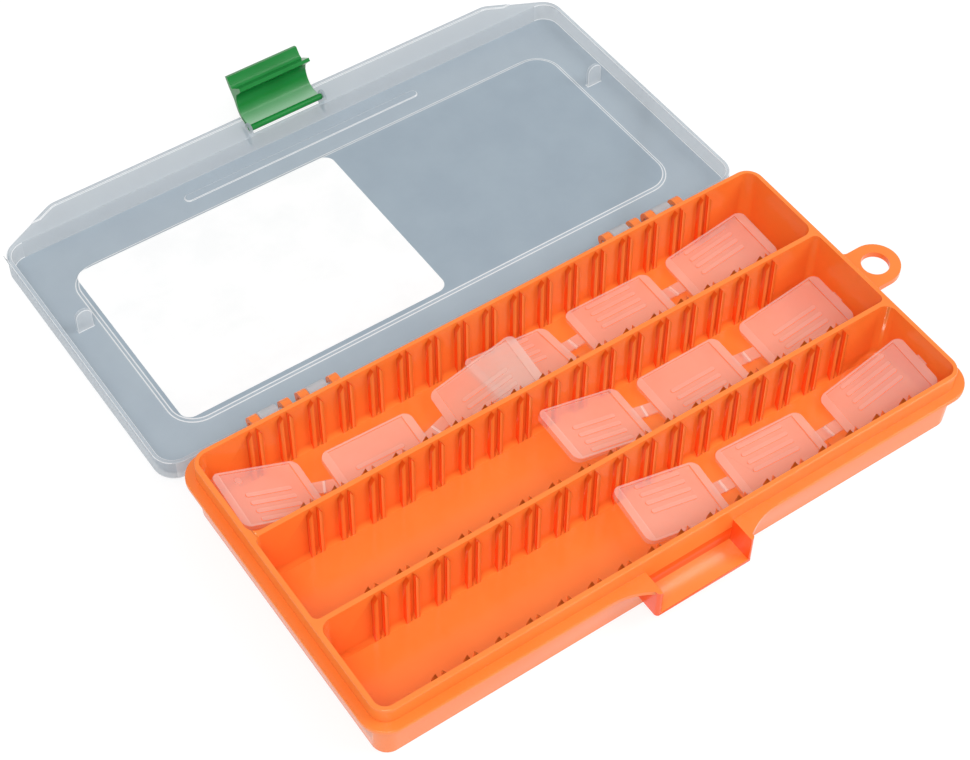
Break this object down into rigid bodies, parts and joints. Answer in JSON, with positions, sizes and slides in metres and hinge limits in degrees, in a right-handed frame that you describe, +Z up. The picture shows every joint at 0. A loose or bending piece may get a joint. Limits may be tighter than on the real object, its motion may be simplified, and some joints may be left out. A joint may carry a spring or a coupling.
{
  "type": "lure box",
  "caption": "Shallow hinged tackle box lying open, with a ribbed tray of long pockets, loose snap-apart divider strips, a hanging ring and a swinging latch.",
  "frame": {"origin": "centre of the tray's flat underside, on the surface it rests on", "axes": "+Z up, +X along the box towards the hanging ring, +Y from the catch side to the hinge side"},
  "size_m": [0.2213, 0.2342, 0.023],
  "materials": {
    "tray_plastic": "gloss",
    "lid_plastic": "satin",
    "latch_plastic": "gloss",
    "divider_plastic": "satin",
    "label_film": "satin"
  },
  "bodies": {
    "tray": {"tray": "tray_plastic"},
    "lid": {"lid": "lid_plastic", "label": "label_film"},
    "latch": {"latch": "latch_plastic"},
    "strip_a": {"divider_01": "divider_plastic", "divider_02": "divider_plastic", "divider_03": "divider_plastic", "web_01_02": "divider_plastic", "web_02_03": "divider_plastic"},
    "strip_b": {"divider_04": "divider_plastic", "divider_05": "divider_plastic", "divider_06": "divider_plastic", "web_04_05": "divider_plastic", "web_05_06": "divider_plastic"},
    "strip_c": {"divider_07": "divider_plastic", "divider_08": "divider_plastic", "divider_09": "divider_plastic", "web_07_08": "divider_plastic", "web_08_09": "divider_plastic"},
    "strip_d": {"divider_10": "divider_plastic", "divider_11": "divider_plastic", "divider_12": "divider_plastic", "web_10_11": "divider_plastic", "web_11_12": "divider_plastic"}
  },
  "joints": [
    {"name": "lid_hinge", "type": "hinge", "parent": "tray", "child": "lid", "pos_m": [0, 0.0544, 0.0142], "axis": [1, 0, 0], "range_deg": [0, 181.78]},
    {"name": "latch_pivot", "type": "hinge", "parent": "lid", "child": "latch", "pos_m": [0, 0.16166, 0.00807], "axis": [1, 0, 0], "range_deg": [0, 26]},
    {"name": "strip_b_lift", "type": "slide", "parent": "tray", "child": "strip_b", "axis": [0, 0, 1], "range_m": [0, 0.06]},
    {"name": "strip_a_lift", "type": "slide", "parent": "strip_b", "child": "strip_a", "axis": [0, 0, 1], "range_m": [0, 0.06]},
    {"name": "strip_c_lift", "type": "slide", "parent": "tray", "child": "strip_c", "axis": [0, 0, 1], "range_m": [0, 0.06]},
    {"name": "strip_d_lift", "type": "slide", "parent": "tray", "child": "strip_d", "axis": [0, 0, 1], "range_m": [0, 0.06]}
  ]
}
